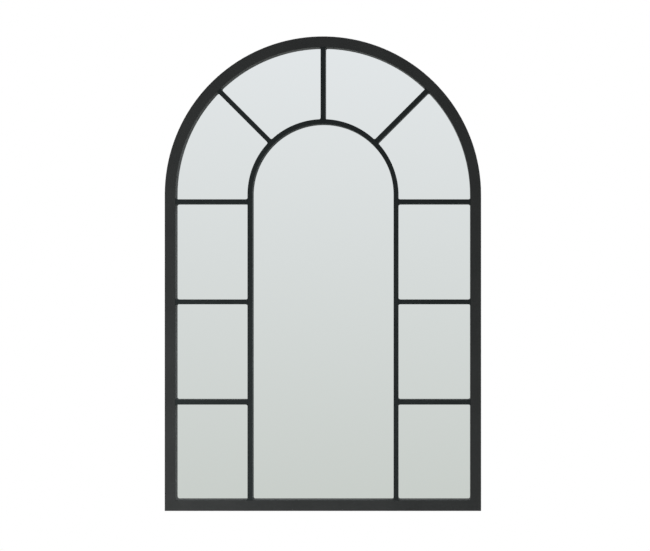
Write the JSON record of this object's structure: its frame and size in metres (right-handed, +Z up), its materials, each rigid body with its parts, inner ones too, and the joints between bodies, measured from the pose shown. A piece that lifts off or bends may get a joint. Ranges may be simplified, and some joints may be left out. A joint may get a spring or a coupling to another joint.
{
  "type": "arched window mirror",
  "caption": "Wall mirror with a half-round top in a black steel window frame: an inner arch, radial bars and level side bars lie before one sheet of mirror glass; two rings hang it.",
  "frame": {"origin": "middle of the underside of the bottom rail, halfway between the front and the rear of the frame", "axes": "+Z up, the front faces -Y, +X to the right as seen from the front"},
  "size_m": [0.6, 0.0315, 0.8999],
  "materials": {
    "black_steel": "matte",
    "zinc_steel": "satin",
    "mirror_glass": "polished",
    "rubber": "matte",
    "foam": "matte",
    "board": "matte"
  },
  "bodies": {
    "mirror": {"frame_arch": "black_steel", "left_stile": "black_steel", "right_stile": "black_steel", "bottom_rail": "black_steel", "inner_arch_bar": "black_steel", "left_leg_bar": "black_steel", "right_leg_bar": "black_steel", "left_upper_side_bar": "black_steel", "left_middle_side_bar": "black_steel", "left_lower_side_bar": "black_steel", "right_upper_side_bar": "black_steel", "right_middle_side_bar": "black_steel", "right_lower_side_bar": "black_steel", "left_radial_bar": "black_steel", "centre_radial_bar": "black_steel", "right_radial_bar": "black_steel", "retaining_lugs": "black_steel", "lug_welds": "black_steel", "lug_screws": "zinc_steel", "left_hanger_strap": "zinc_steel", "right_hanger_strap": "zinc_steel", "left_hanger_screws": "zinc_steel", "right_hanger_screws": "zinc_steel", "glass_setting_blocks": "rubber", "left_wall_bumper": "rubber", "right_wall_bumper": "rubber", "mirror_glass": "mirror_glass", "backing_foam": "foam", "back_board": "board"},
    "left_ring": {"left_hanger_ring": "zinc_steel"},
    "right_ring": {"right_hanger_ring": "zinc_steel"}
  },
  "joints": [
    {"name": "left_ring_swing", "type": "hinge", "parent": "mirror", "child": "left_ring", "pos_m": [-0.29125, 0.01555, 0.56], "axis": [1, 0, 0], "range_deg": [0, 180]},
    {"name": "right_ring_swing", "type": "hinge", "parent": "mirror", "child": "right_ring", "pos_m": [0.29125, 0.01555, 0.56], "axis": [1, 0, 0], "range_deg": [0, 180]}
  ]
}
